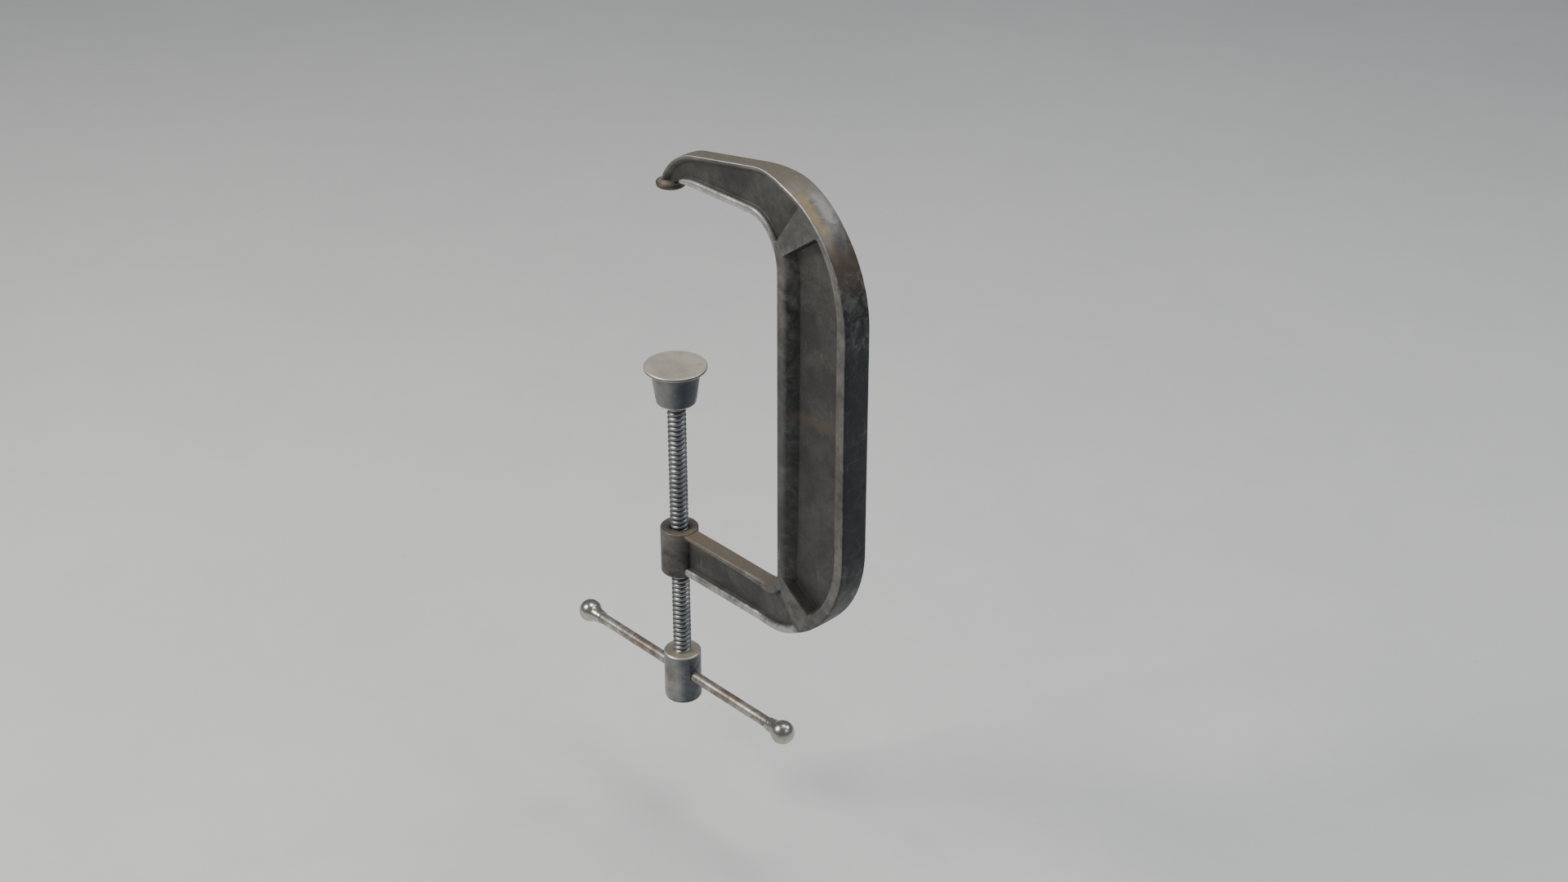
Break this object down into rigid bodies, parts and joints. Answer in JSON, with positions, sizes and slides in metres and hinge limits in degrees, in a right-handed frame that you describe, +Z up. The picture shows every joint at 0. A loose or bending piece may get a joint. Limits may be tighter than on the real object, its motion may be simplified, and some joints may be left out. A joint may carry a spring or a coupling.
{
  "type": "g-clamp",
  "caption": "Deep-throat cast G-clamp: I-section C frame with an anvil foot, trapezoidal screw through a boss, swivel pad and sliding T-bar with ball ends.",
  "frame": {"origin": "centre of the anvil's flat face, on the screw's axis", "axes": "+Z up along the screw, from the pad towards the anvil; +X from the screw towards the spine of the frame; Y across the frame's thickness, which is symmetric about Y = 0"},
  "size_m": [0.3062, 0.0464, 0.4742],
  "materials": {
    "casting": "as-cast iron, dark patina, worn bright on the flange edges",
    "anvil_steel": "turned steel, browned, dull",
    "bush_steel": "turned steel, oily",
    "screw_steel": "cut thread, bright crests and dark roots",
    "hub_steel": "turned steel, satin, bright chamfer",
    "bar_steel": "drawn bar, mottled with handling and light rust",
    "knob_steel": "turned steel, polished by hand",
    "pad_steel": "turned steel, satin, worn bright on the rim",
    "pin_steel": "ground steel"
  },
  "bodies": {
    "frame": {"frame_casting": "casting", "anvil_insert": "anvil_steel", "thread_bush": "bush_steel", "bush_lock_pin": "pin_steel"},
    "pad_seat": {"pad_retaining_ring": "pin_steel"},
    "screw": {"spindle": "screw_steel", "handle_hub": "hub_steel", "hub_pin": "pin_steel"},
    "pad": {"swivel_pad": "pad_steel"},
    "handle": {"handle_bar": "bar_steel", "handle_knob_outer": "knob_steel", "handle_knob_inner": "knob_steel"}
  },
  "joints": [
    {"name": "screw_advance", "type": "slide", "parent": "frame", "child": "pad_seat", "axis": [0, 0, 1], "range_m": [-0.10401, 0.07201]},
    {"name": "screw_turn", "type": "hinge", "parent": "pad_seat", "child": "screw", "pos_m": [0, 0, -0.25], "axis": [0, 0, 1], "range_deg": [-9360, 6480]},
    {"name": "pad_tilt", "type": "hinge", "parent": "pad_seat", "child": "pad", "pos_m": [0, 0, -0.1515], "axis": [0, 1, 0], "range_deg": [-6, 6]},
    {"name": "handle_slide", "type": "slide", "parent": "screw", "child": "handle", "axis": [1, 0, 0], "range_m": [-0.083, 0.083]}
  ],
  "couplings": [
    {"joint": "screw_advance", "follows": "screw_turn", "m_per_rad": 0.00063662}
  ]
}
